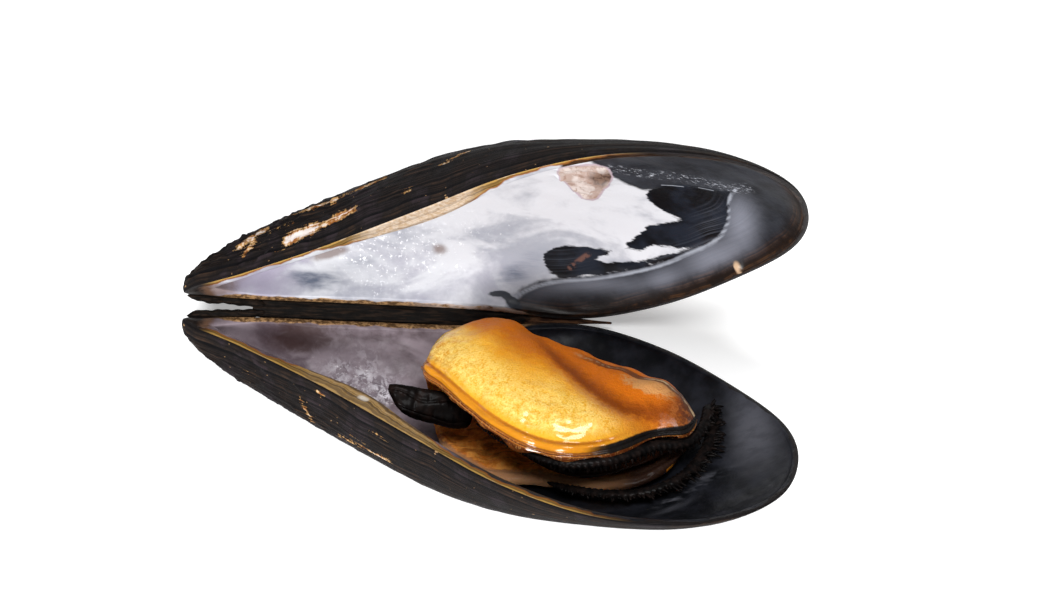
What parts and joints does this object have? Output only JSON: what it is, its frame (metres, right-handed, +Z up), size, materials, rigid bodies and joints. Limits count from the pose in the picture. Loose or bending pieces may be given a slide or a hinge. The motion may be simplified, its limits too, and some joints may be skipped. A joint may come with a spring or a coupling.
{
  "type": "mussel shell",
  "caption": "Open cooked mussel: shell valves spread apart on their ligament, with the meat lying in the lower one.",
  "frame": {"origin": "under the middle of the bounding box, on the ground", "axes": "+X from the beaks to the rounded end, +Y from the lower valve to the upright one, +Z up"},
  "size_m": [0.0622, 0.038, 0.0355],
  "materials": {
    "shell_black": "satin blue-black outside, glossy nacre inside",
    "ligament_brown": "dull, almost black",
    "mantle_orange": "wet golden orange",
    "frill_black": "wet black",
    "foot_black": "leathery black",
    "gill_brown": "wet dark brown"
  },
  "bodies": {
    "root": {"near_valve": "shell_black", "far_valve": "shell_black", "ligament": "ligament_brown", "mantle": "mantle_orange", "mantle_frill": "frill_black", "foot": "foot_black", "gills": "gill_brown"}
  },
  "joints": []
}
